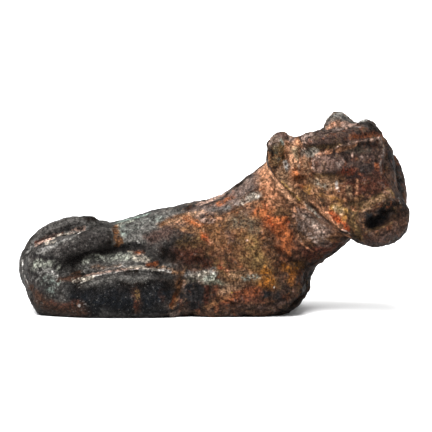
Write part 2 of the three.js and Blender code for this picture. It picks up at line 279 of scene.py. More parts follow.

# The patina's patches, with patches of painted shade and painted light among them, lie in three levels.
# Each patch has the pixels that its middle runs through, its half width in pixels, the share of the
# surface that it covers, and its tone. Where patches of a level overlap, the later one shows. The ground
# covers everything, so its patches state no share.
GROUND = {
    "back": ([(118, 238), (140, 228), (170, 216)], 14, "ash"),
    "spine": ([(100, 224), (130, 218), (166, 208), (204, 201), (228, 190)], 4, "slate"),
    "tail": ([(32, 246), (44, 232), (62, 222), (88, 217)], 7, "slate"),
    "haunch top": ([(40, 252), (60, 243), (86, 238), (106, 234)], 7, "coal"),
    "haunch low": ([(56, 262), (66, 256), (88, 248), (108, 243)], 6, "coal"),
    "shadow under the haunch": (
        [(58, 270), (66, 261), (84, 257), (108, 251), (128, 247), (144, 246)],
        4,
        "coal",
    ),
    "shelf": ([(86, 266), (106, 262), (130, 258), (148, 262)], 6, "ash"),
    "hind leg": ([(76, 300), (110, 302), (140, 302), (164, 294)], 13, "ink"),
    "leg top": ([(86, 285), (110, 279), (150, 276), (170, 280)], 4, "slate"),
    "rump": ([(30, 264), (38, 284), (52, 286)], 10, "coal"),
    "rump's foot": ([(36, 300), (56, 306), (78, 307)], 7, "umber"),
    "haunch's foot": ([(60, 279), (78, 278)], 4, "umber"),
    # Darker in the flank's hollow: dark patina and painted shade.
    "flank": ([(160, 258), (170, 247), (186, 242)], 11, "coal"),
    "flank top": ([(150, 238), (170, 230)], 6, "plum"),
    "saddle": ([(164, 222), (176, 219), (194, 217)], 6, "brown"),
    "belly": ([(182, 252), (200, 250)], 9, "maroon"),
    "shoulder": ([(222, 236), (240, 226), (250, 246), (262, 258)], 20, "brown"),
    "neck side": ([(200, 212), (218, 208), (238, 199)], 8, "mauve"),
    "neck back": ([(238, 191), (252, 181), (262, 171)], 8, "dusk"),
    # Peach, lighter than the salmon patina, lifts the shade under the ear: painted light.
    "neck by the ear": ([(262, 176), (270, 190), (280, 200)], 11, "peach"),
    "neck": ([(256, 211), (270, 209), (282, 215)], 9, "tan"),
    "throat": ([(272, 226), (282, 234), (288, 252)], 8, "rust"),
    "front of the throat": ([(298, 222), (310, 234), (324, 242)], 10, "brown"),
    "throat's foot": ([(298, 252), (316, 253), (332, 248)], 6, "maroon"),
    "chest": ([(262, 268), (264, 284)], 11, "olive"),
    "chest's edge": ([(286, 262), (297, 276), (294, 292)], 9, "umber"),
    "forearm": ([(222, 262), (240, 270)], 9, "olive"),
    "lower forearm": ([(222, 298), (240, 292), (258, 294)], 9, "maroon"),
    "chest's foot": ([(212, 308), (250, 309), (284, 306)], 5, "umber"),
    "front hoof": ([(196, 288), (197, 304)], 10, "ink"),
    "column": ([(186, 282), (180, 296), (173, 308)], 4, "soot"),
    # Black on the far knee, which faces away from the light: dark patina and painted shade.
    "far knee": ([(310, 276), (306, 292), (294, 306)], 8, "black"),
    "ear": ([(278, 140), (278, 160)], 8, "olive"),
    "ear's foot": ([(284, 176), (300, 200)], 6, "tan"),
    # Peach lifts the shade in the strip's hollow: painted light on its salmon patina.
    "strip before the ear": ([(295, 146), (295, 160), (298, 172)], 6.5, "peach"),
    "brow's end": ([(304, 152), (305, 164), (309, 176)], 7, "salmon"),
    "horn": ([(308, 144), (330, 141), (350, 138)], 7, "plum"),
    "crest": ([(328, 120), (337, 114), (348, 122)], 6, "ash"),
    "crest's hollow": ([(328, 128), (344, 127)], 4, "ash"),
    "far horn": ([(356, 126), (366, 122), (376, 128)], 7, "coal"),
    "eye": ([(321, 163), (330, 165)], 9, "taupe"),
    "plate": ([(342, 158), (360, 154), (374, 158)], 13, "plum"),
    "upper cheek": ([(312, 182), (328, 183), (341, 184)], 7, "tan"),
    "cheek": ([(314, 194), (330, 200), (342, 203)], 8, "sand"),
    "jaw": ([(332, 212), (341, 221)], 8, "salmon"),
    "nose": ([(353, 190), (368, 188), (381, 184)], 10, "maroon"),
    "upper lip": ([(359, 208), (366, 204), (378, 198), (390, 192)], 4.5, "olive"),
    "mouth": ([(370, 217), (373, 224), (384, 216), (384, 210)], 6.5, "soot"),
    "mouth's far end": ([(391, 208), (400, 205)], 7, "black"),
    "lower lip": ([(366, 234), (384, 229), (401, 221)], 4, "umber"),
    "chin": ([(362, 240), (380, 242), (398, 230)], 5, "plum"),
    "muzzle's side": ([(354, 204), (353, 222), (357, 234)], 6, "olive"),
    # Soot on the far cheek, turned from the light: dark patina and painted shade.
    "far cheek": ([(388, 146), (397, 166), (401, 190)], 8, "soot"),
    # This patch and the next two paint light into the shade under the jaw and beside the ear's edge.
    "throat under the jaw": ([(302, 205), (310, 212), (318, 220), (327, 226), (337, 233)], 4, "peach"),
    "neck by the ear's edge": ([(266, 165), (272, 176), (281, 188), (292, 202)], 4, "apricot"),
    "jaw's shadow": ([(312, 200), (320, 209), (328, 218), (336, 227)], 2.6, "peach"),
    "jaw's corner": ([(342, 234), (349, 237)], 3, "peach"),
    # Glow lifts the shade deep in the strip: painted light.
    "strip's middle": ([(296, 147), (297, 162)], 4, "glow"),
    "hind hoof's foot": ([(148, 312), (166, 311)], 4, "ink"),
}

# The crust on the ground, with patches of painted shade and painted highlight among it.
CRUST_AND_PAINTED_LIGHT = {
    "tail": ([(42, 236), (60, 225), (80, 219)], 4, 0.45, "slate"),
    "tail's end": ([(84, 218), (96, 219)], 3.4, 1, "black"),
    "tail's top": ([(34, 238), (48, 226), (66, 220)], 2, 0.5, "coal"),
    # Painted shade under the tail's roll.
    "under the tail": ([(50, 231.5), (64, 227), (80, 223)], 1.3, 0.8, "coal"),
    "tail groove": ([(36, 242), (52, 237), (64, 233)], 2.2, 0.7, "maroon"),
    # Painted highlight on the haunch's roll.
    "haunch's light": ([(44, 251), (60, 243), (78, 239)], 4, 0.3, "ash"),
    "haunch's specks": ([(86, 232), (104, 230)], 6, 0.25, "ash"),
    # Painted shade at the step of the haunch's end.
    "haunch's dark end": ([(108, 228), (110, 242)], 3, 0.6, "black"),
    "rump's dark": ([(34, 254), (48, 257), (60, 262)], 4, 0.7, "soot"),
    "rump's lower dark": ([(44, 292), (54, 298)], 5, 0.6, "soot"),
    "rump's brown": ([(26, 280), (36, 294), (46, 304)], 4, 0.7, "umber"),
    "shelf's brown": ([(96, 268), (118, 266)], 4, 0.45, "brown"),
    "shelf's grey": ([(100, 262), (124, 258)], 4, 0.5, "ash"),
    # Lighter along the leg's top: grey patina and a painted highlight.
    "leg's light": ([(92, 284), (116, 279), (146, 278)], 4, 0.5, "ash"),
    "leg's grain": ([(94, 296), (120, 292), (150, 292)], 9, 0.25, "coal"),
    "leg's end": ([(164, 290), (174, 284)], 5, 0.6, "black"),
    "leg's rust": ([(136, 290), (137, 310)], 4.5, 0.6, "umber"),
    "back's olive": ([(126, 236), (146, 226)], 6, 0.3, "slate"),
    "back's light": ([(136, 222), (158, 216)], 6, 0.5, "ash"),
    # Painted shade in the groove under the haunch.
    "behind the back": ([(116, 246), (138, 244)], 3, 0.9, "soot"),
    "back's brown": ([(148, 238), (166, 228)], 6, 0.5, "plum"),
    # This patch and the next: dark patina and painted shade in the flank's hollow.
    "flank's black": ([(176, 240), (188, 236)], 7, 0.7, "coal"),
    "flank's lower black": ([(166, 256), (176, 260)], 7, 0.7, "black"),
    "flank's tan": ([(162, 268), (176, 267)], 3, 0.6, "ash"),
    "saddle's orange": ([(171, 222), (178, 220), (188, 222)], 4, 0.6, "sand"),
    "saddle's gold": ([(190, 215), (202, 213)], 4, 0.55, "sand"),
    "shoulder edge": ([(188, 220), (200, 225), (206, 234)], 4, 0.7, "orange"),
    "belly's rust": ([(184, 242), (194, 246), (202, 242)], 7, 0.5, "olive"),
    "belly's dark": ([(188, 262), (212, 260)], 4, 0.6, "maroon"),
    "neck streak": ([(205, 228), (218, 222), (230, 214)], 3.4, 0.6, "brown"),
    "neck's grey": ([(212, 210), (228, 208)], 4.4, 0.6, "ash"),
    "neck's red": ([(220, 203), (232, 198)], 4.4, 0.55, "orange"),
    "neck's plum": ([(236, 192), (250, 182)], 5, 0.5, "plum"),
    "neck's brown": ([(210, 216), (226, 218)], 5, 0.4, "peach"),
    # Peach, lighter than the salmon patina, lifts the shade under the ear: painted light.
    "neck's salmon": ([(264, 176), (269, 186), (276, 198)], 8, 0.8, "peach"),
    "neck's rust": ([(262, 190), (272, 196)], 6, 0.4, "orange"),
    "shoulder's light": ([(230, 224), (244, 220), (256, 228)], 8, 0.4, "khaki"),
    "shoulder's dark": ([(236, 240), (252, 234)], 7, 0.45, "olive"),
    "shoulder's rust": ([(216, 252), (228, 262), (240, 262)], 6, 0.4, "rust"),
    "neck's orange": ([(255, 210), (264, 214), (272, 210)], 6, 0.7, "orange"),
    "throat's orange": ([(272, 222), (281, 228), (286, 238), (288, 248)], 5.5, 0.5, "orange"),
    "throat's brown": ([(292, 252), (302, 260)], 6, 0.5, "bark"),
    "throat's red": ([(306, 252), (328, 249)], 5, 0.7, "maroon"),
    # Peach lifts the shade in the throat's hollow: painted light.
    "throat's olive": ([(298, 212), (306, 220)], 5, 0.55, "peach"),
    "throat's grey": ([(302, 226), (316, 238)], 8, 0.6, "mauve"),
    "chest crease": ([(274, 247), (282, 253), (292, 260), (304, 267)], 2.4, 0.6, "black"),
    "chest's gold": ([(258, 266), (266, 276), (264, 288)], 9, 0.6, "amber"),
    "chest front's gold": ([(289, 268), (299, 266)], 5, 0.4, "gold"),
    "chest's umber": ([(276, 270), (280, 290)], 6, 0.5, "umber"),
    "chest's dark spot": ([(258, 292), (272, 294)], 6, 1, "soot"),
    "forearm's red": ([(220, 266), (232, 270), (244, 268)], 4, 0.5, "brick"),
    "forearm's grey": ([(190, 281), (214, 281), (230, 282)], 3.5, 0.6, "moss"),
    "forearm's brown": ([(226, 276), (240, 282)], 5, 0.5, "tan"),
    "forearm's orange": ([(228, 296), (240, 290), (252, 290)], 6, 0.55, "rust"),
    "lower arm's orange": ([(208, 306), (218, 298), (228, 294)], 4, 0.6, "brown"),
    "chest's low plum": ([(240, 306), (262, 308), (284, 302)], 4, 0.5, "plum"),
    "hoof's red edge": ([(207, 286), (206, 302)], 2.4, 0.7, "umber"),
    "column's rust": ([(184, 282), (178, 293), (171, 306)], 4, 0.75, "brown"),
    "ear's top": ([(270, 142), (275, 138)], 4, 0.6, "dusk"),
    "ear's spot": ([(271, 149), (273, 155)], 2.6, 0.9, "black"),
    "ear's rim": ([(268, 152), (271, 166), (279, 180), (291, 193)], 1.6, 0.7, "brown"),
    "ear's dark band": ([(276, 168), (284, 182), (290, 188)], 3, 0.7, "umber"),
    "ear's gold": ([(280, 172), (290, 184), (302, 198)], 3.4, 0.6, "sand"),
    "ear's end": ([(296, 190), (306, 202)], 3, 0.5, "brown"),
    "strip's foot": ([(298, 176), (306, 184)], 5, 0.7, "orange"),
    "strip's orange": ([(302, 180), (312, 185)], 3.4, 0.7, "peach"),
    "brow end's brown": ([(306, 158), (308, 170)], 5, 0.6, "sand"),
    "horn's dark": ([(308, 147), (326, 146), (340, 144)], 3, 0.5, "olive"),
    # Painted highlight on the horn's roll.
    "horn's light": ([(306, 141), (314, 138), (326, 134)], 2.4, 0.3, "mauve"),
    "horn's end": ([(303, 142), (303, 149)], 3.4, 0.6, "pink"),
    "horn band": ([(350, 137), (366, 134), (382, 134)], 3.4, 0.5, "rust"),
    "crest's rim": ([(323, 130), (329, 119), (336, 113.5)], 1.8, 0.7, "coal"),
    "crest's right": ([(342, 117), (350, 124)], 2.4, 0.7, "coal"),
    "crest's orange": ([(328, 128), (336, 125), (344, 126)], 3, 0.6, "salmon"),
    "far horn's light": ([(354, 125), (359, 121), (365, 120)], 2, 0.8, "silver"),
    # Painted shade on the far horn, turned from the light.
    "far horn's dark": ([(370, 124), (378, 132)], 4, 0.8, "black"),
    "upper eyelid": ([(316, 154), (322, 152), (331, 151)], 2.4, 0.6, "salmon"),
    # Painted highlight on the eye's rim.
    "eye's light": ([(313, 168), (313, 160), (318, 156)], 1.8, 0.6, "pink"),
    "under the eye": ([(318, 176), (330, 176)], 4, 0.6, "khaki"),
    "plate's light": ([(340, 164), (343, 159)], 3, 0.6, "mauve"),
    "plate's middle": ([(350, 150), (366, 148)], 5, 0.35, "moss"),
    "plate's red": ([(340, 172), (352, 171)], 5, 0.4, "brick"),
    "plate's corner": ([(376, 165), (377, 170)], 3, 0.7, "rust"),
    "cheek's cream": ([(314, 183), (328, 183), (340, 185)], 6, 0.65, "sand"),
    "cheek's gold": ([(312, 190), (328, 196), (342, 200)], 6, 0.5, "honey"),
    "cheek's rust": ([(318, 194), (334, 202)], 6, 0.6, "salmon"),
    "cheek's edge": ([(345, 186), (346, 200), (346, 212)], 2.4, 0.5, "salmon"),
    "jaw's yellow": ([(334, 208), (344, 210)], 4.5, 0.85, "yellow"),
    "jaw's flame": ([(332, 214), (342, 220), (346, 228)], 4.5, 0.6, "flame"),
    "nose's line": ([(357, 180), (357, 198)], 1.8, 0.5, "peach"),
    "nose's dark": ([(366, 184), (376, 190)], 5, 0.3, "umber"),
    "upper lip's light": ([(364, 205), (378, 199), (388, 193)], 3, 0.42, "sand"),
    "upper lip's end": ([(385, 192), (391, 197)], 3, 0.5, "taupe"),
    "lower lip's gold": ([(366, 231), (380, 228), (392, 223)], 2.4, 0.5, "olive"),
    "chin's rust": ([(366, 238), (380, 240)], 3, 0.4, "maroon"),
    # Dark patina and painted shade on the far cheek.
    "far cheek's foot": ([(398, 186), (403, 200)], 4, 0.8, "soot"),
    # Painted highlight on the edge under the tail.
    "tail groove's end": ([(68, 233), (78, 231.5), (87, 229)], 3, 0.8, "silver"),
    "throat's red patch": ([(274, 222), (284, 228)], 6, 0.45, "flame"),
    "throat's gap": ([(270, 232), (280, 244)], 3.4, 0.55, "bark"),
    "shoulder's plum": ([(226, 232), (232, 240)], 5, 0.5, "plum"),
    "shoulder's upper plum": ([(244, 214), (250, 208)], 5, 0.45, "taupe"),
    "shoulder's lower olive": ([(244, 256), (256, 262)], 6, 0.5, "olive"),
    "shoulder's red side": ([(218, 250), (228, 260)], 8, 0.5, "maroon"),
    "shoulder's top olive": ([(232, 222), (246, 218), (256, 226)], 8, 0.45, "moss"),
    "shoulder's yellow side": ([(254, 242), (258, 258)], 7, 0.55, "khaki"),
    "shoulder's foot brown": ([(270, 246), (280, 260)], 7, 0.5, "umber"),
    "under the horn's end": ([(302, 151), (309, 151), (315, 150)], 3.6, 0.8, "cream"),
    "ear's right slope": ([(288, 138), (295, 140.5)], 3, 0.7, "mauve"),
    "crest's foot": ([(343, 126), (353, 125)], 3, 0.9, "pink"),
    "neck's top edge": ([(200, 204), (208, 201), (224, 194)], 4, 0.75, "pink"),
    "nose's left": ([(351, 187), (351, 196)], 3, 0.8, "sand"),
    # Painted highlight along the haunch's upper edge.
    "haunch's pale edge": ([(38, 250), (50, 245.5), (62, 240.5), (76, 236)], 3, 0.62, "silver"),
    "back's top edge": ([(116, 223), (130, 219), (150, 213)], 3, 0.85, "verdigris"),
    "under the brow edge": ([(338, 149), (348, 146), (356, 144)], 3, 0.9, "peach"),
    # Painted light lifting the shade under the jaw.
    "throat under the jaw": ([(306, 210), (315, 216), (325, 222), (333, 230)], 5, 0.6, "pink"),
    "strip's top": ([(297, 141), (301, 144)], 3.4, 0.8, "peach"),
    "ear band's foot": ([(290, 178), (297, 184)], 3, 0.8, "peach"),
    "upper lip's foot": ([(363, 210), (374, 207)], 2, 0.5, "sand"),
    # Painted shade on the far cheek, with its dark patina.
    "far cheek's dark": ([(394, 166), (398, 180)], 4, 0.8, "black"),
    "crest's right foot": ([(333, 130), (342, 129)], 2.6, 0.6, "dusk"),
    "ear's crust": ([(286, 166), (288, 174)], 3, 0.6, "sand"),
    "strip's low end": ([(296, 168), (297, 177)], 3.5, 0.7, "orange"),
    "ear's upper tone": ([(274, 139), (280, 136), (287, 141)], 5, 0.6, "mauve"),
    "cheek's shade": ([(309, 196), (312, 200)], 3, 0.6, "bark"),
    "saddle's foot": ([(176, 228), (188, 229), (198, 230)], 4, 0.6, "tan"),
    "ear's front": ([(286, 143), (286, 158)], 3, 0.7, "peach"),
    "jaw's end tan": ([(344, 212), (345, 218)], 3, 0.6, "honey"),
    "forearm's low brown": ([(222, 289), (232, 286), (244, 283)], 4, 0.6, "sand"),
    "forearm's tan": ([(232, 272), (242, 270)], 4, 0.5, "sand"),
    # Painted light lifting the shade beside the jaw.
    "throat beside the jaw": ([(299, 213), (308, 219), (315, 225), (326, 232)], 6, 0.75, "pink"),
    "left rim's inner side": ([(29, 261), (31, 270)], 3, 0.6, "ash"),
    "lip's start": ([(355, 201), (362, 198)], 3, 0.7, "tan"),
    "throat's low flame": ([(286, 220), (288, 223)], 3, 0.7, "flame"),
    "cheek's light": ([(318, 192), (334, 196)], 6, 0.35, "salmon"),
    "chest front's warm": ([(284, 264), (294, 270), (290, 280)], 5, 0.6, "amber"),
    "far cheek's shade": ([(388, 152), (394, 166)], 5, 0.6, "soot"),
    "haunch's low light": ([(60, 262), (76, 254), (100, 246)], 6, 0.32, "slate"),
    "throat's foot grey": ([(320, 242), (328, 245)], 4, 0.5, "mauve"),
    # Painted shade by the far knee, with its dark patina.
    "chest edge's dark": ([(304, 282), (302, 292), (297, 299)], 3, 0.6, "black"),
    "eye's right": ([(337, 164), (340, 169)], 3, 0.6, "dusk"),
    "cheek's right side": ([(340, 188), (342, 196)], 3.5, 0.5, "peach"),
    "forearm's sand": ([(242, 273), (250, 273)], 4, 0.6, "sand"),
    "jaw edge's end": ([(335, 229), (343, 234)], 2.5, 0.6, "peach"),
    # Painted highlight on the horn's top.
    "horn's top light": ([(302, 137), (312, 134)], 3, 0.6, "dusk"),
    "neck's low rust": ([(264, 204), (270, 206)], 4, 0.5, "rust"),
    "shelf's dark": ([(94, 264), (106, 263)], 3, 0.5, "coal"),
    "elbow's tan": ([(174, 273), (183, 274)], 3.5, 0.6, "tan"),
    "chin's far end": ([(398, 230), (402, 226)], 4, 0.7, "umber"),
    # Painted highlight on the haunch's top.
    "haunch's top light": ([(92, 226), (98, 225)], 3, 0.5, "ash"),
    "neck's brown edge": ([(258, 181), (263, 183)], 3, 0.5, "brown"),
    "ridge's near foot": ([(73, 274), (82, 272)], 3, 0.6, "bark"),
    "ear's top edge": ([(278, 134), (285, 135)], 3, 0.7, "wine"),
    "mouth's dark": ([(369, 221), (376, 225), (379, 219)], 5, 0.9, "black"),
}

# The bloom of bright and pale minerals on top, with painted highlights, glints and painted light among it.
BLOOM_AND_PAINTED_LIGHT = {
    "rump": ([(36, 266), (46, 263), (56, 266)], 7, 0.46, "lichen"),
    "rump's middle": ([(38, 275), (54, 274)], 6, 0.36, "white"),
    "rump's lower side": ([(44, 284), (56, 286), (48, 294)], 7, 0.27, "mint"),
    # This patch and the next are painted highlights on the rump's left rim.
    "left rim": ([(22, 260), (22.5, 271)], 1.5, 0.45, "white"),
    "left rim's foot": ([(25, 276), (29, 286)], 1.6, 0.4, "white"),
    # This patch and the next are painted highlights along the edge under the tail.
    "edge under the tail": ([(36, 244.5), (45, 240.5), (52, 238)], 2, 0.6, "pink"),
    "edge's far end": ([(53, 238), (62, 234.4), (72, 233), (80, 232.4)], 1.8, 0.55, "cream"),
    # Painted glint.
    "haunch speck": ([(80, 233)], 1.5, 1, "white"),
    "haunch's pale grain": ([(44, 253), (58, 250), (74, 248)], 5, 0.2, "ash"),
    "haunch's end": ([(116, 227), (118, 240)], 5.5, 0.8, "brown"),
    "haunch end's mint": ([(122, 227), (124, 234)], 3.6, 0.5, "verdigris"),
    "back's scratches": ([(130, 230), (146, 220), (160, 216)], 8, 0.28, "verdigris"),
    # Painted glint.
    "back speck": ([(138, 242)], 1.5, 1, "white"),
    "shelf": ([(88, 261), (97, 257), (112, 257), (132, 256)], 5, 0.4, "lichen"),
    "shelf's foot": ([(84, 272), (104, 268), (134, 265)], 3.4, 0.3, "white"),
    "shelf's red": ([(129, 251), (140, 252)], 3.4, 0.75, "rust"),
    "shelf's mint": ([(135, 257), (146, 260)], 4, 0.75, "cream"),
    "shelf end's red": ([(148, 265), (156, 265)], 3.4, 0.75, "rust"),
    "shelf to flank": ([(158, 269), (174, 271)], 3, 0.5, "sand"),
    "haunch's foot": ([(62, 279), (72, 277)], 3, 0.6, "umber"),
    # This patch and the next are painted highlights along the ridge of the hind leg.
    "ridge of the hind leg": (
        [(78, 284), (84, 280.5), (93, 276), (110, 273), (130, 269.5)],
        1.2,
        0.44,
        "white",
    ),
    "ridge's far end": ([(130, 269.5), (145, 269), (158, 270), (170, 272)], 1.7, 0.6, "white"),
    # This patch and the next are painted glints.
    "foot speck": ([(79, 305.5)], 1.5, 1, "white"),
    "lower foot speck": ([(85, 304)], 1.3, 0.9, "silver"),
    "foot's red": ([(50, 302), (64, 304), (76, 302)], 5, 0.4, "maroon"),
    "leg's gold": ([(137, 291), (138, 297)], 2.6, 0.7, "khaki"),
    "leg's orange": ([(135, 302), (137, 308)], 2.6, 0.6, "maroon"),
    "foreleg": ([(187, 274), (200, 276), (213, 271)], 4.6, 0.56, "silver"),
    "foreleg's cream": ([(194, 276), (208, 274)], 3, 0.5, "cream"),
    "forearm's pale": ([(246, 277), (257, 275)], 4.5, 0.45, "verdigris"),
    "hoof's top": ([(190, 282), (206, 281)], 3, 0.35, "mauve"),
    "column's pink": ([(186, 281), (182, 291)], 3, 0.3, "dusk"),
    "saddle's salmon": ([(166, 222), (180, 221)], 2, 0.4, "sand"),
    "shoulder line": ([(186, 218), (198, 222), (204, 230), (212, 244)], 1.6, 0.45, "sand"),
    "shoulder's flame": ([(207, 237), (213, 243)], 4.4, 0.75, "flame"),
    "shoulder's pale": ([(243, 227), (255, 231)], 6, 0.26, "sand"),
    # Painted glint.
    "shoulder speck": ([(247, 240)], 1.3, 0.9, "pink"),
    "forearm's pink line": ([(224, 270), (234, 270), (244, 269)], 1.1, 0.6, "peach"),
    # This patch and the next are painted glints.
    "forearm speck": ([(273, 287)], 1.5, 0.9, "white"),
    "forearm's edge speck": ([(232, 292)], 1.3, 0.8, "yellow"),
    "neck's pale": ([(243, 203), (250, 199), (257, 197)], 5, 0.5, "cream"),
    # Painted glint.
    "neck speck": ([(258, 197)], 1.3, 0.9, "white"),
    "neck's grey fleck": ([(226, 208), (238, 204)], 3, 0.35, "silver"),
    "neck's flame": ([(258, 208), (268, 206)], 4, 0.35, "flame"),
    "throat's flame": ([(276, 222), (287, 222), (288, 236)], 5, 0.6, "orange"),
    "throat's low flame": ([(288, 248), (290, 254)], 2.4, 0.6, "orange"),
    "throat's pale": ([(300, 226), (311, 232), (319, 238)], 9, 0.34, "silver"),
    "throat's cream": ([(304, 230), (316, 234)], 6, 0.15, "white"),
    # Painted highlight along the throat's edge.
    "throat's edge": ([(294, 216), (297, 230), (298, 240), (308, 249), (315, 253)], 1.5, 0.42, "salmon"),
    "ear's teal": ([(281, 140), (283, 144)], 2, 0.5, "verdigris"),
    "ear's crust": ([(285, 162), (288, 169)], 3.4, 0.42, "white"),
    "ear band's pale": ([(280, 176), (292, 188), (300, 196)], 4, 0.4, "sand"),
    "ear's gold rim": ([(283, 182), (293, 194), (303, 204)], 1.5, 0.42, "yellow"),
    "ear's tan": ([(272, 158), (276, 168)], 3, 0.4, "tan"),
    # Apricot lifts the shade in the strip's hollow: painted light.
    "strip": ([(294, 146), (295, 156), (296, 163)], 5, 1, "apricot"),
    "strip's pale rim": ([(299, 162), (301, 174)], 1.4, 0.3, "cream"),
    "eyelid's pink": ([(317, 154), (326, 151.5)], 1.8, 0.4, "pink"),
    "crest's specks": ([(330, 126), (334, 125)], 2.4, 0.3, "pink"),
    "crest's pale": ([(334, 115), (341, 118)], 3.4, 0.3, "silver"),
    # Painted highlights along the brow edge and the plate's right rim, then a painted glint.
    "brow edge": ([(336, 147.5), (350, 144), (364, 141), (378, 138.5)], 2.4, 0.5, "pink"),
    "plate's right rim": ([(380, 139), (383, 148), (381, 160), (377, 170)], 1.8, 0.36, "silver"),
    "plate speck": ([(352, 153), (352, 156)], 1.4, 0.7, "pink"),
    "plate's pink": ([(359, 156), (363, 158)], 2, 0.4, "mauve"),
    "cheek's mint": ([(316, 181), (326, 186)], 5, 0.38, "lichen"),
    "cheek's cream line": ([(337, 182), (339, 190)], 2, 0.55, "white"),
    "cheek's flecks": ([(322, 196), (338, 200)], 7, 0.4, "honey"),
    # This patch and the next are painted highlights along the jaw's edge.
    "jaw's edge": ([(314, 196), (321.5, 204.5), (328, 214), (334.5, 223), (343, 230)], 1.5, 0.6, "peach"),
    "jaw's end": ([(343, 230), (350, 234)], 1.5, 0.55, "pink"),
    "mouth's right": ([(398, 197), (400, 202)], 1.2, 0.6, "silver"),
    "muzzle's lines": ([(361, 216), (364, 226)], 1.6, 0.4, "tan"),
    "muzzle's salmon": ([(351, 206), (356, 210)], 2.4, 0.5, "salmon"),
    "mouth": ([(371, 217), (374, 223), (384, 216), (384, 210)], 5.5, 0.5, "ink"),
    "throat's olive speck": ([(294, 208), (302, 218)], 4, 0.55, "peach"),
    "front hoof": ([(198, 291), (194, 303)], 7, 0.8, "soot"),
    "hoof's red edge": ([(207, 286), (206, 302)], 2.4, 0.8, "maroon"),
    "column's foot": ([(177, 294), (170, 305)], 3, 0.5, "rust"),
    "chest's gold": ([(262, 268), (268, 280)], 6, 0.28, "gold"),
    "shoulder's tan": ([(216, 240), (222, 250)], 6, 0.3, "sand"),
    # Painted light lifting the shade under the ear.
    "neck's peach": ([(265, 185), (270, 194), (276, 202)], 7, 0.45, "peach"),
    "tail groove's salmon": ([(72, 231), (84, 227.5)], 2.4, 0.6, "pink"),
    # Painted highlight on the eye's rim.
    "eye's arc": ([(314, 170), (313, 161), (318, 156)], 2, 0.3, "pink"),
    "muzzle's far side": ([(397, 208), (405, 212), (402, 222)], 4, 0.55, "umber"),
    # This patch and the next paint light into the shade under the jaw and beside the ear's edge.
    "throat under the jaw": ([(306, 208), (315, 217), (325, 225), (335, 231)], 3.4, 0.5, "peach"),
    "neck by the ear's edge": ([(268, 168), (275, 180), (284, 192), (292, 202)], 3.4, 0.55, "apricot"),
    "under the horn's end": ([(302, 152), (309, 152), (315, 150.5)], 2.6, 0.4, "pink"),
    "over the ridge": ([(88, 276), (98, 273), (112, 271), (134, 267.5), (152, 269)], 3.2, 0.4, "pink"),
    "rump's gap": ([(54, 268), (60, 262), (56, 256)], 3, 0.5, "soot"),
    "rump's lower gap": ([(32, 272), (38, 276)], 3, 0.5, "soot"),
    "neck streak's pale": ([(204, 221), (214, 222)], 4, 0.42, "pink"),
    "saddle's pale": ([(176, 224), (188, 224)], 4, 0.4, "peach"),
    "foreleg's end": ([(206, 278), (214, 276)], 3, 0.55, "lichen"),
    # This patch and the next paint light into the jaw's shadow and the strip's groove.
    "jaw's shadow": ([(313, 202), (319, 208), (327, 217), (334, 226)], 2, 0.5, "peach"),
    "strip's groove": ([(298, 150), (298, 162)], 3, 1, "apricot"),
    # Painted highlight along the hind leg's ridge.
    "ridge's upper side": ([(130, 267), (140, 266.5), (146, 270), (154, 271)], 3, 0.5, "cream"),
    "neck's low pale": ([(248, 206), (256, 204)], 3.4, 0.45, "peach"),
    "jaw's yellow": ([(337, 210), (342, 212)], 3, 0.6, "apricot"),
    "jaw's crust": ([(305, 203), (312, 210), (319, 218)], 2.4, 0.4, "lichen"),
    # Painted light lifting the shade deep in the strip.
    "strip's middle": ([(296, 149), (297, 158)], 3, 1, "glow"),
    "ear's moss": ([(274, 146), (277, 158)], 4, 0.4, "moss"),
    # Painted highlight on the rump's left rim.
    "left rim's top": ([(27, 252), (31, 246)], 2, 0.5, "silver"),
    # Painted light lifting the shade beside the jaw.
    "throat beside the jaw": ([(304, 214), (312, 221), (320, 229)], 5, 0.34, "cream"),
    "back's pale edge": ([(119, 225), (126, 222), (134, 220)], 2.5, 0.45, "lichen"),
    # This patch and the next two are painted highlights along the hind leg's ridge and the edge under the
    # tail.
    "ridge's near end": ([(75, 281), (84, 279), (92, 277)], 3, 0.45, "cream"),
    "ridge's under side": ([(140, 272), (150, 273)], 3, 0.45, "silver"),
    "edge's under side": ([(46, 243), (54, 241)], 3, 0.45, "cream"),
    "shelf's top edge": ([(120, 254), (130, 252)], 3, 0.4, "lichen"),
    "throat's light": ([(279, 228), (283, 234)], 4, 0.5, "orange"),
    "tail groove's tan": ([(46, 238), (54, 236)], 2.5, 0.5, "dusk"),
    "far horn's foot": ([(352, 127), (358, 127)], 3, 0.4, "silver"),
    "jaw's gold": ([(335, 207), (342, 210)], 4, 0.5, "glow"),
}

PATCHES = {"ground": GROUND, "crust": CRUST_AND_PAINTED_LIGHT, "bloom_and_painted_light": BLOOM_AND_PAINTED_LIGHT}

# The ground where no patch lies: two tones in soft lumps, for the haunches and for what is ahead of them.
BARE_TONES = [("black", "slate"), ("soot", "bark")]
BARE_MM = 4

# Flecks of other hues all over each half: their tone, their size in millimetres, the noise that they
# start at, and the share of the colour that they take. They are full a little above that start. The
# pale sand and silver flecks are painted glints.
HUES = [
    ("front", "rust", 1.4, 0.53, 0.35),
    ("front", "olive", 1.1, 0.53, 0.35),
    ("front", "mauve", 1, 0.55, 0.4),
    ("front", "umber", 0.7, 0.53, 0.55),
    # Pale sand flecks are painted glints on the crusted front.
    ("front", "sand", 0.4, 0.58, 0.35),
    ("rear", "black", 0.7, 0.52, 0.45),
    # Silver flecks are painted glints on the dark haunches.
    ("rear", "silver", 0.34, 0.57, 0.5),
]
HUE_RISE = 0.1

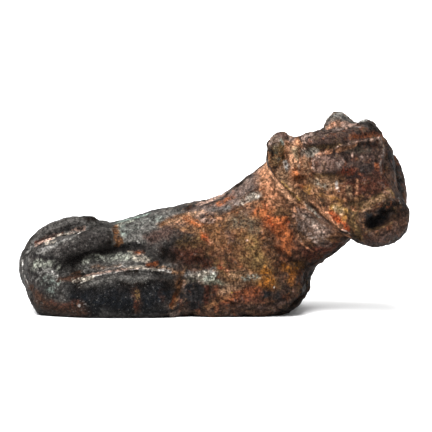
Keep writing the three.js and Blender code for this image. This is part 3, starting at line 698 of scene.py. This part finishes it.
# How softly the flecks of a level end around the middle of its cover, and how much noise breaks it up.
# That noise is the level's own, by this share, and grain for the rest. It counts within this range.
FLECKS = {"crust": (0.4, 0.6), "bloom_and_painted_light": (0.34, 0.8)}
FLECK_MIDDLE = 0.5
OWN_SHARE = 0.6
FLECK_RANGE = (0.38, 0.62)

# The shader's noises: the size of their features, their detail and how rough it is. The hues share one
# kind and the levels another, with seeds that count up.
NOISES = {
    "mottle": {"size_mm": 1.6, "detail": 5, "rough": 0.65, "seed": 1},
    "grain": {"size_mm": 0.5, "detail": 4, "rough": 0.85, "seed": 2},
    "grit": {"size_mm": 0.28, "detail": 1, "rough": 0.5, "seed": 9},
    "crevices": {"size_mm": 0.9, "detail": 3, "rough": 0.6, "seed": 3},
}
HUE_NOISE = {"detail": 4, "rough": 0.7}
HUE_SEED = 10
LEVEL_NOISE = {"size_mm": 0.8, "detail": 5, "rough": 0.75}
LEVEL_SEED = 4

# Crevices run where their noise is near its middle, and end this far off it.
CREVICE_MIDDLE = 0.5
CREVICE_WIDTH = 0.07

# What darkens and lightens the colours: the noise or mask that each is read from, the two values that
# it runs between, and the factors at those values. Mottle, grain and crumbs also raise the bumps, so
# besides their uneven tone they paint shade into pits and crevices and a highlight on crests; grit is
# uneven tone alone. Edge is a painted highlight on partly worn metal; hollow and under are painted shade.
SHADES = [
    ("mottle", 0.34, 0.66, 0.7, 1.3),
    ("grain", 0.36, 0.64, 0.25, 1.8),
    ("grit", 0.3, 0.7, 0.6, 1.4),
    ("crumbs", 0, 1, 0.45, 1.2),
    ("edge", 0, 1, 1, 1.5),
    ("hollow", 0, 1, 1, 0.5),
    ("under", 0, 1, 1, 0.4),
]

# The finish: its gloss, its roughness as the grain runs between two values, and its bumps.
SPECULAR = 0.04
ROUGHNESS = (0.35, 0.65, 0.3, 0.65)
BUMPS_MM = {"mottle": 0.6, "grain": 0.55, "crumbs": 0.07}

# The floor.
FLOOR_HALF = 6
FLOOR_GREY = 0.75
FLOOR_ROUGHNESS = 0.9
FLOOR_SPECULAR = 0.1

# The studio's light: an even sky and two suns. Azimuth 0 is from the camera's side.
SKY_LIGHT = 0.6
SUNS = {
    "key": {"azimuth": -25, "elevation": 60, "power": 6.5, "softness": 40},
    "top": {"azimuth": 0, "elevation": 80, "power": 3.5, "softness": 100},
}


def to_light(part):
    """A part of a screen colour, from 0 to 1, as an amount of light."""
    return part / 12.92 if part <= 0.04045 else ((part + 0.055) / 1.055) ** 2.4


def tone(name):
    """The surface colour, with alpha, that gives a tone in the light."""
    parts = [to_light(int(TONES[name][i : i + 2], 16) / 255) for i in (0, 2, 4)]
    return (*[max(0, part - GLOSS) / LIGHT_GAIN for part in parts], 1)


def load_surface(node):
    """A fine, even copy of the node's surface, as a new object."""
    rough = node.data.copy()
    bull = bpy.data.objects.new("bull_surface", rough)
    bpy.context.scene.collection.objects.link(bull)
    weld = bull.modifiers.new("weld", "WELD")
    weld.merge_threshold = WELD_MM * MM
    rounder = bull.modifiers.new("rounder", "SUBSURF")
    rounder.levels = SUBDIVISIONS
    rounder.render_levels = SUBDIVISIONS
    even = bull.modifiers.new("even", "REMESH")
    even.mode = "VOXEL"
    even.voxel_size = VOXEL_MM * MM
    even.use_smooth_shade = True
    bpy.context.view_layer.update()
    fine = bpy.data.meshes.new_from_object(bull.evaluated_get(bpy.context.evaluated_depsgraph_get()))
    bull.modifiers.clear()
    bull.data = fine
    bpy.data.meshes.remove(rough)
    return bull


def read_vertices(mesh, field):
    """A vector a vertex: its place with the field co, or its normal with the field normal."""
    flat = np.empty(len(mesh.vertices) * 3, np.float32)
    mesh.vertices.foreach_get(field, flat)
    return flat.reshape(-1, 3).astype(float)


def points_of(mesh):
    return read_vertices(mesh, "co")


def normals_of(mesh):
    return read_vertices(mesh, "normal")


def move_points(mesh, points):
    mesh.vertices.foreach_set("co", points.astype(np.float32).ravel())
    mesh.update()


def edges_of(mesh):
    flat = np.empty(len(mesh.edges) * 2, np.int32)
    mesh.edges.foreach_get("vertices", flat)
    return flat.reshape(-1, 2)


def neighbour_mean(values, edges):
    """The mean of each vertex's neighbours, for one value or one row of values a vertex."""
    count = len(values)
    columns = values.reshape(count, -1)
    degree = np.bincount(edges.ravel(), minlength=count)
    means = np.empty_like(columns)
    for c in range(columns.shape[1]):
        total = np.bincount(edges[:, 0], columns[edges[:, 1], c], count)
        total += np.bincount(edges[:, 1], columns[edges[:, 0], c], count)
        means[:, c] = total / degree
    return means.reshape(values.shape)


def smoothed(points, edges, passes):
    """Smoothing in steps there and back, which takes ripples out and keeps the volume."""
    for _ in range(passes):
        for share in SMOOTH_SHARES:
            points = points + share * (neighbour_mean(points, edges) - points)
    return points


def eased(share):
    """A share from 0 to 1, with its two ends rounded off."""
    return share * share * (3 - 2 * share)


def lattice_noise(points, cell, seed):
    """Smooth random heights from -1 to 1, in lumps about one cell wide."""
    rng = np.random.default_rng(seed)
    shuffle = rng.permutation(HEIGHTS)
    heights = rng.uniform(-1, 1, HEIGHTS)
    spots = points / cell + HEIGHT_SHIFT
    base = np.floor(spots).astype(int)
    fade = eased(spots - base)
    total = np.zeros(len(points))
    for corner in np.ndindex(2, 2, 2):
        share = np.prod(np.where(np.array(corner) == 1, fade, 1 - fade), axis=1)
        x, y, z = (base + corner).T % HEIGHTS
        total += share * heights[shuffle[(shuffle[(shuffle[x] + y) % HEIGHTS] + z) % HEIGHTS]]
    return total


class PhotoView:
    """The photograph's camera: it places pixels of the photograph on the surface."""

    def __init__(self, low, high):
        middle = (low.x + high.x) / 2
        centre = FRAME_PIXELS / 2
        across = (centre - MIDDLE_COLUMN) * PIXEL_MM * MM
        rise = ((GROUND_ROW - centre) * PIXEL_MM / math.cos(CAMERA_TILT) - GROUND_DROP_MM) * MM
        self.target = Vector((middle + across, 0, rise))
        self.back = Vector((0, -math.cos(CAMERA_TILT), math.sin(CAMERA_TILT)))
        self.up = Vector((0, math.sin(CAMERA_TILT), math.cos(CAMERA_TILT)))
        self.place = self.target + self.back * CAMERA_DISTANCE_MM * MM
        self.lens = SENSOR_MM * CAMERA_DISTANCE_MM / (FRAME_PIXELS * PIXEL_MM)

    def ray(self, column, row):
        centre = FRAME_PIXELS / 2
        across = Vector((1, 0, 0)) * (column - centre) * PIXEL_MM * MM
        down = self.up * (row - centre) * PIXEL_MM * MM
        return (self.target + across - down - self.place).normalized()

    def on_surface(self, tree, pixels):
        """Points on the surface that a line through these pixels runs over, a short step apart."""
        spots = []
        for start, end in zip(pixels, pixels[1:] or pixels):
            run = math.dist(start, end) * PIXEL_MM
            steps = max(1, round(run / STROKE_STEP_MM))
            spots += [np.add(start, np.subtract(end, start) * i / steps) for i in range(steps)]
        spots.append(np.array(pixels[-1], float))
        found = []
        for column, row in spots:
            ray = self.ray(column, row)
            hit = tree.ray_cast(self.place, ray)[0]
            if hit is None:
                beside = self.place + ray * CAMERA_DISTANCE_MM * MM
                hit = tree.find_nearest(beside)[0]
            found.append(hit)
        return np.array(found)


def tree_of(mesh):
    """The mesh's faces, sorted so that the one that a ray hits is found quickly."""
    corners = [Vector(point) for point in points_of(mesh)]
    return BVHTree.FromPolygons(corners, [face.vertices[:] for face in mesh.polygons])


def distance_to(points, line, reach):
    """How far each point within reach is from a line of points, and at which share of its length."""
    gap = np.full(len(points), FAR)
    place = np.zeros(len(points))
    near = np.all((points > line.min(0) - reach) & (points < line.max(0) + reach), axis=1)
    close = points[near]
    best = np.full(len(close), FAR)
    along = np.zeros(len(close))
    for i, spot in enumerate(line):
        distance = np.linalg.norm(close - spot, axis=1)
        nearer = distance < best
        best[nearer] = distance[nearer]
        along[nearer] = i / max(1, len(line) - 1)
    gap[near] = best
    place[near] = along
    return gap, place


def carve(mesh, edges, view):
    """Presses the strokes into the surface, along its broad normals leant towards the camera."""
    points = points_of(mesh)
    normals = normals_of(mesh)
    tree = tree_of(mesh)
    for _ in range(NORMAL_PASSES):
        normals = neighbour_mean(normals, edges)
    back = np.array(view.back)
    facing = np.clip(normals @ back, 0, 1) ** 2
    aim = normals + CAMERA_SHARE * facing[:, None] * back
    aim /= np.linalg.norm(aim, axis=1)[:, None]
    height = np.full(len(points), SWELL_MM * MM)
    unevenness = 1 + UNEVEN_SHARE * lattice_noise(points, UNEVEN_MM * MM, UNEVEN_SEED)
    for pixels, half_width, rise in STROKES.values():
        full_width = half_width * PIXEL_MM * MM
        gap, place = distance_to(points, view.on_surface(tree, pixels), STROKE_REACH * full_width)
        fade = np.clip(np.minimum(place, 1 - place) / TAPER, LEAST_HEIGHT, 1)
        width = full_width * (1 - NARROWING + NARROWING * fade)
        height += rise * MM * fade * unevenness * np.exp(-((gap / width) ** 2))
    move_points(mesh, points + aim * height[:, None])


def front_of(points):
    """How much each point belongs to the crusted front half, from 0 at the haunches to 1."""
    return eased(np.clip((points[:, 0] / MM - CRUST_FROM_MM) / (CRUST_TO_MM - CRUST_FROM_MM), 0, 1))


def roughen(mesh):
    """Corrosion lumps, pits and fine creases between crumbs."""
    points = points_of(mesh)
    height = np.zeros(len(points))
    for seed, (cell, rise) in enumerate(LUMPS_MM):
        height += lattice_noise(points, cell * MM, seed) * rise * MM
    pits = lattice_noise(points, PIT_MM * MM, PIT_SEED)
    height -= np.clip(pits - PIT_START, 0, 1) / (1 - PIT_START) * PIT_DEPTH_MM * MM
    for seed, (cell, depth) in enumerate(CREASES_MM, CREASE_SEED):
        away = CREASE_SHARPNESS * np.abs(lattice_noise(points, cell * MM, seed))
        height -= np.clip(1 - away, 0, 1) * depth * MM
    height *= SMOOTH_SHARE + (1 - SMOOTH_SHARE) * front_of(points)
    move_points(mesh, points + normals_of(mesh) * height[:, None])


def stand_flat(mesh, low, high):
    """Keeps the surface over the ground and inside the solid's box."""
    points = points_of(mesh)
    move_points(mesh, np.clip(points, low, high))


def write_mask(mesh, name, values):
    mask = mesh.attributes.new(name, "FLOAT", "POINT")
    mask.data.foreach_set("value", values.astype(np.float32))


def write_colour(mesh, name, values):
    colour = mesh.attributes.new(name, "FLOAT_COLOR", "POINT")
    colour.data.foreach_set("color", values.astype(np.float32).ravel())


def relief_masks(mesh, edges):
    """Marks edges for a painted highlight, hollows and what faces down for painted shade, and the two
    halves.

    The relief is how far points are off their smoothed places.
    """
    points = points_of(mesh)
    normals = normals_of(mesh)
    relief = np.zeros(len(points))
    flat = points
    for passes, full_mm in RELIEF_SCALES:
        for _ in range(passes):
            flat = neighbour_mean(flat, edges)
        relief += np.clip(np.einsum("ij,ij->i", points - flat, normals) / (full_mm * MM), -1, 1)
    relief /= len(RELIEF_SCALES)
    # Edges are marked for a painted highlight on partly worn metal, hollows for painted shade.
    write_mask(mesh, "edge", np.clip(relief, 0, 1))
    write_mask(mesh, "hollow", np.clip(-relief, 0, 1))
    # What faces down is marked for painted shade, which darkens its colour.
    write_mask(mesh, "under", np.clip(-normals[:, 2] * UNDER_PAINTED_SHADE_GAIN - UNDER_PAINTED_SHADE_START, 0, 1))
    write_mask(mesh, "front", front_of(points))
    write_mask(mesh, "rear", 1 - front_of(points))


def warped(points):
    """The points, each pushed a little aside, so that what is laid by them gets a ragged shape."""
    pushed = points.copy()
    for i, (cell, reach) in enumerate(WARP_MM):
        for axis in range(3):
            pushed[:, axis] += lattice_noise(points, cell * MM, WARP_SEED + 3 * i + axis) * reach * MM
    return pushed


def mirror_line(line, tree):
    """The same line on the far side, across the middle plane of the head or of the body."""
    middle = line.mean(0)
    on_head = middle[0] > HEAD_FROM_MM[0] * MM and middle[2] > HEAD_FROM_MM[1] * MM
    centre, normal = (HEAD_MIDDLE_MM, HEAD_LEFT) if on_head else (BODY_MIDDLE_MM, BODY_LEFT)
    normal = np.array(normal) / np.linalg.norm(normal)
    offset = (line - np.array(centre) * MM) @ normal
    across = line - 2 * offset[:, None] * normal + np.array(MIRROR_SLIP_MM) * MM
    return np.array([tree.find_nearest(Vector(spot))[0] for spot in across])


def bare_ground(points):
    """The colours where no ground patch lies."""
    share = np.clip(0.5 + lattice_noise(points, BARE_MM * MM, BARE_SEED), 0, 1)[:, None]
    front = front_of(points)[:, None]
    rear_tone, front_tone = [
        (1 - share) * np.array(tone(dark)) + share * np.array(tone(light)) for dark, light in BARE_TONES
    ]
    return (1 - front) * rear_tone + front * front_tone


def patch_mask(points, line, width):
    """How much a patch along a line shows at each point: 1 near the line, fading to 0."""
    return np.clip(PATCH_REACH - distance_to(points, line, PATCH_REACH * width)[0] / width, 0, 1)


def lay_patches(mesh, view, tree):
    """Writes each level's tones as a colour, with its cover as alpha.

    The far side gets the near side's patches, a little off their places.
    """
    still = points_of(mesh)
    push = warped(still) - still
    towards = np.array(view.place) - still
    towards /= np.linalg.norm(towards, axis=1)[:, None]
    facing = np.einsum("ij,ij->i", normals_of(mesh), towards)
    hidden = np.clip(HIDDEN_AT_EDGE - HIDDEN_GAIN * facing, 0, 1)
    for level, patches in PATCHES.items():
        laid = np.zeros((len(still), 4))
        weight = np.zeros((len(still), 1))
        if level == "ground":
            laid += bare_ground(still + push)
            weight += 1
        for pixels, half_width, *share, name in patches.values():
            cover = share[0] if share else 1
            line = view.on_surface(tree, pixels)
            width = half_width * PIXEL_MM * MM
            points = still + push * min(1, half_width / FULL_WARP_PIXELS)
            far = patch_mask(points, mirror_line(line, tree), width) * hidden
            mask = np.maximum(patch_mask(points, line, width), far)[:, None]
            laid += mask * (np.array([*tone(name)[:3], cover]) - laid)
            weight += mask * (1 - weight)
        laid[:, :3] /= np.maximum(weight, LEAST_WEIGHT)
        write_colour(mesh, level, laid)


class Shader:
    """Short ways to add nodes to a material."""

    def __init__(self, name):
        self.material = bpy.data.materials.new(name)
        self.material.use_nodes = True
        self.tree = self.material.node_tree
        self.surface = self.tree.nodes["Principled BSDF"]
        self.place = self.tree.nodes.new("ShaderNodeTexCoord").outputs["Object"]

    def plug(self, node, name, value):
        socket = node.inputs[name]
        if isinstance(value, bpy.types.NodeSocket):
            self.tree.links.new(value, socket)
        else:
            socket.default_value = value

    def add(self, kind, inputs, **settings):
        """A new node of that kind, set up and plugged."""
        node = self.tree.nodes.new("ShaderNode" + kind)
        for name, value in settings.items():
            setattr(node, name, value)
        for name, value in inputs.items():
            self.plug(node, name, value)
        return node

    def noise(self, size_mm, detail, rough, seed):
        """Noise with features of about that size."""
        look = {"Scale": 1 / (size_mm * MM), "Detail": detail, "Roughness": rough, "W": seed}
        return self.add("TexNoise", {"Vector": self.place, **look}, noise_dimensions="4D").outputs["Fac"]

    def math(self, operation, a, b=0.0):
        return self.add("Math", {0: a, 1: b}, operation=operation).outputs[0]

    def ramp(self, value, low, high, to_low=0.0, to_high=1.0, kind="SMOOTHSTEP"):
        span = {"From Min": low, "From Max": high, "To Min": to_low, "To Max": to_high}
        return self.add("MapRange", {"Value": value, **span}, interpolation_type=kind).outputs["Result"]

    def linear(self, value, low, high, to_low, to_high):
        return self.ramp(value, low, high, to_low, to_high, "LINEAR")

    def attribute(self, name):
        """The outputs of a mask or a level: Fac for a mask, Color and Alpha for a level."""
        return self.add("Attribute", {}, attribute_name=name).outputs

    def mix(self, share, low, high, kind="MIX"):
        """Two colours in one. The node has them at its sockets 6 and 7, and the result at its output 2."""
        return self.add("Mix", {0: share, 6: low, 7: high}, data_type="RGBA", blend_type=kind).outputs[2]

    def shade(self, colour, factor):
        """The colour made darker or lighter by a factor."""
        return self.mix(1.0, colour, factor, "MULTIPLY")


def patina():
    """The bull's finish: charcoal metal under coloured corrosion in grains and flecks, with painted shade
    and highlights.
    """
    shader = Shader("bronze_patina")
    sources = {name: shader.noise(**noise) for name, noise in NOISES.items()}
    away = shader.math("ABSOLUTE", shader.math("SUBTRACT", sources["crevices"], CREVICE_MIDDLE))
    sources["crumbs"] = shader.linear(away, 0, CREVICE_WIDTH, 0, 1)
    # Edge is read for a painted highlight, hollow and under for painted shade.
    for name in ("edge", "hollow", "under", "front", "rear"):
        sources[name] = shader.attribute(name)["Fac"]
    colour = shader.attribute("ground")["Color"]
    for seed, (half, name, size_mm, low, share) in enumerate(HUES, HUE_SEED):
        noise = shader.noise(size_mm, seed=seed, **HUE_NOISE)
        spots = shader.ramp(noise, low, low + HUE_RISE, 0, share)
        colour = shader.mix(shader.math("MULTIPLY", spots, sources[half]), colour, tone(name))
    grain = shader.math("MULTIPLY", sources["grain"], 1 - OWN_SHARE)
    for seed, (level, (soft, broken)) in enumerate(FLECKS.items(), LEVEL_SEED):
        laid = shader.attribute(level)
        own = shader.math("MULTIPLY", shader.noise(seed=seed, **LEVEL_NOISE), OWN_SHARE)
        flecks = shader.linear(shader.math("ADD", own, grain), *FLECK_RANGE, 1 - broken, 1 + broken)
        spread = shader.math("MULTIPLY", laid["Alpha"], flecks)
        cover = shader.ramp(spread, FLECK_MIDDLE - soft, FLECK_MIDDLE + soft)
        colour = shader.mix(cover, colour, laid["Color"])
    for name, *span in SHADES:
        colour = shader.shade(colour, shader.linear(sources[name], *span))
    shader.plug(shader.surface, "Base Color", colour)
    shader.plug(shader.surface, "Specular IOR Level", SPECULAR)
    shader.plug(shader.surface, "Roughness", shader.linear(sources["grain"], *ROUGHNESS))
    normal = None
    for name, depth_mm in BUMPS_MM.items():
        bump = shader.add("Bump", {"Height": sources[name], "Distance": depth_mm * MM})
        if normal:
            shader.plug(bump, "Normal", normal)
        normal = bump.outputs["Normal"]
    shader.plug(shader.surface, "Normal", normal)
    return shader.material


def floor_material():
    material = bpy.data.materials.new("pale_floor")
    material.use_nodes = True
    surface = material.node_tree.nodes["Principled BSDF"]
    surface.inputs["Base Color"].default_value = (FLOOR_GREY, FLOOR_GREY, FLOOR_GREY, 1)
    surface.inputs["Roughness"].default_value = FLOOR_ROUGHNESS
    surface.inputs["Specular IOR Level"].default_value = FLOOR_SPECULAR
    return material


def add_floor():
    corners = [(x * FLOOR_HALF, y * FLOOR_HALF, 0) for x, y in ((-1, -1), (1, -1), (1, 1), (-1, 1))]
    sheet = bpy.data.meshes.new("floor")
    sheet.from_pydata(corners, [], [(0, 1, 2, 3)])
    floor = bpy.data.objects.new("floor", sheet)
    floor.data.materials.append(floor_material())
    bpy.context.scene.collection.objects.link(floor)


def add_sun(name, azimuth, elevation, power, softness):
    """A far light from that side of the photograph's view."""
    lamp = bpy.data.lights.new(name, "SUN")
    lamp.energy = power
    lamp.angle = math.radians(softness)
    sun = bpy.data.objects.new(name, lamp)
    bpy.context.scene.collection.objects.link(sun)
    turn, rise = math.radians(azimuth), math.radians(elevation)
    towards = Vector((math.sin(turn) * math.cos(rise), -math.cos(turn) * math.cos(rise), math.sin(rise)))
    sun.rotation_mode = "QUATERNION"
    sun.rotation_quaternion = towards.to_track_quat("Z", "Y")


def add_world():
    world = bpy.data.worlds.new("studio")
    world.use_nodes = True
    sky = world.node_tree.nodes["Background"]
    sky.inputs["Color"].default_value = (1, 1, 1, 1)
    sky.inputs["Strength"].default_value = SKY_LIGHT
    bpy.context.scene.world = world


def add_camera(view):
    lens = bpy.data.cameras.new("camera")
    lens.sensor_width = SENSOR_MM
    lens.lens = view.lens
    lens.clip_end = VIEW_END
    camera = bpy.data.objects.new("camera", lens)
    bpy.context.scene.collection.objects.link(camera)
    camera.location = view.place
    camera.rotation_mode = "QUATERNION"
    camera.rotation_quaternion = view.back.to_track_quat("Z", "Y")
    bpy.context.scene.camera = camera


def make_bull(node, view):
    bull = load_surface(node)
    mesh = bull.data
    edges = edges_of(mesh)
    move_points(mesh, smoothed(points_of(mesh), edges, SMOOTH_PASSES))
    carve(mesh, edges, view)
    roughen(mesh)
    low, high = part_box(node.name)
    stand_flat(mesh, low, high)
    relief_masks(mesh, edges)
    lay_patches(mesh, view, tree_of(mesh))
    for face in mesh.polygons:
        face.use_smooth = True
    mesh.materials.clear()
    mesh.materials.append(patina())
    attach(bull, "root")
    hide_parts(node.name)


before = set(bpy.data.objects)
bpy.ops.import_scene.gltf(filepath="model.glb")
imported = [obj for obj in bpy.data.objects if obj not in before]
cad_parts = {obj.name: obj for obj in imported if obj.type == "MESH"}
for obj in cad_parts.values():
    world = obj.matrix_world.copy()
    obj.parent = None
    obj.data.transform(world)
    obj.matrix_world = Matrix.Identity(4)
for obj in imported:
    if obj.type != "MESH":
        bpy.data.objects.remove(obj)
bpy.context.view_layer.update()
low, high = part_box("bull")
photo_view = PhotoView(low, high)
make_bull(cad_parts["bull"], photo_view)
add_floor()
add_world()
for sun_name, sun_light in SUNS.items():
    add_sun(sun_name, **sun_light)
add_camera(photo_view)
bpy.context.scene.view_settings.view_transform = "Standard"
